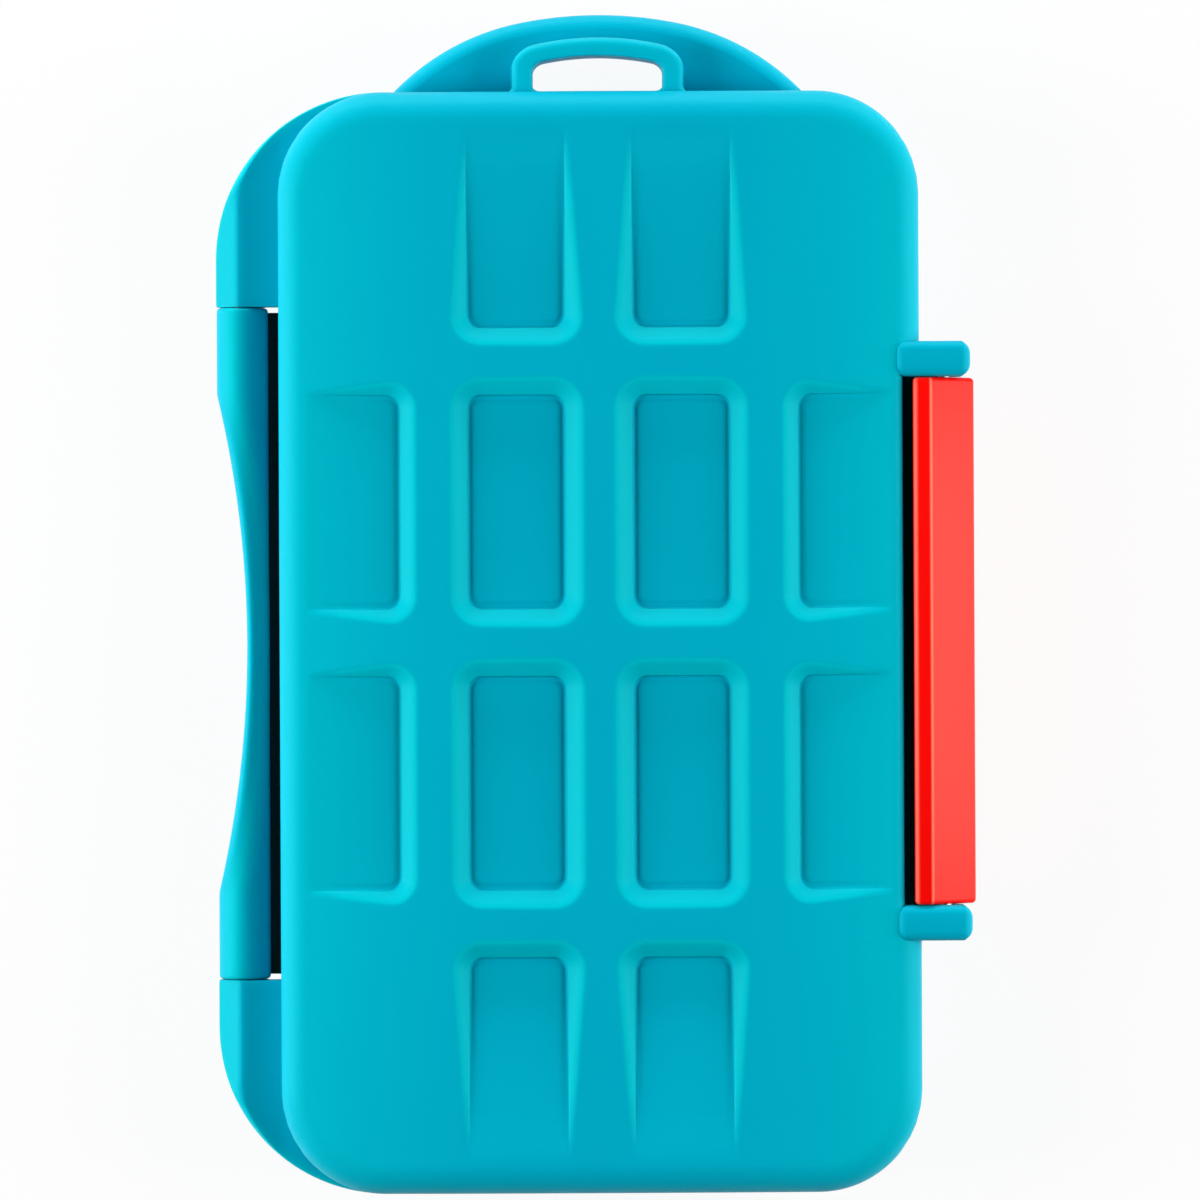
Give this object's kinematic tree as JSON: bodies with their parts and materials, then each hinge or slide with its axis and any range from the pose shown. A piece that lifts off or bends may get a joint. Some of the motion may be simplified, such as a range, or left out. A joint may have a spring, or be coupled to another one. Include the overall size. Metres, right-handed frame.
{
  "type": "memory card case",
  "caption": "Hard case for memory cards: two hinged moulded halves with recessed windows, a swinging latch, a cord loop, a rim seal and soft card trays.",
  "frame": {"origin": "middle of the rear cover's flat back face, under the middle of the front face", "axes": "+Z out of the front face, +Y towards the cord loop, +X towards the latch"},
  "size_m": [0.0721, 0.1125, 0.0188],
  "materials": {
    "shell": "fine satin moulding",
    "latch": "smooth moulding",
    "tray": "soft matt moulding",
    "seal": "silicone ring",
    "pin": "ground wire"
  },
  "bodies": {
    "rear_half": {"rear_cover": "shell", "rim_seal": "seal", "rear_card_tray": "tray"},
    "front_half": {"front_cover": "shell", "front_card_tray": "tray", "upper_hinge_pin": "pin", "lower_hinge_pin": "pin", "upper_latch_pin": "pin", "lower_latch_pin": "pin"},
    "latch": {"latch": "latch"}
  },
  "joints": [
    {"name": "cover_hinge", "type": "hinge", "parent": "rear_half", "child": "front_half", "pos_m": [-0.03408, 0, 0.0094], "axis": [0, -1, 0], "range_deg": [0, 180]},
    {"name": "latch_pivot", "type": "hinge", "parent": "front_half", "child": "latch", "pos_m": [0.0326, 0, 0.0156], "axis": [0, -1, 0], "range_deg": [0, 105]}
  ]
}
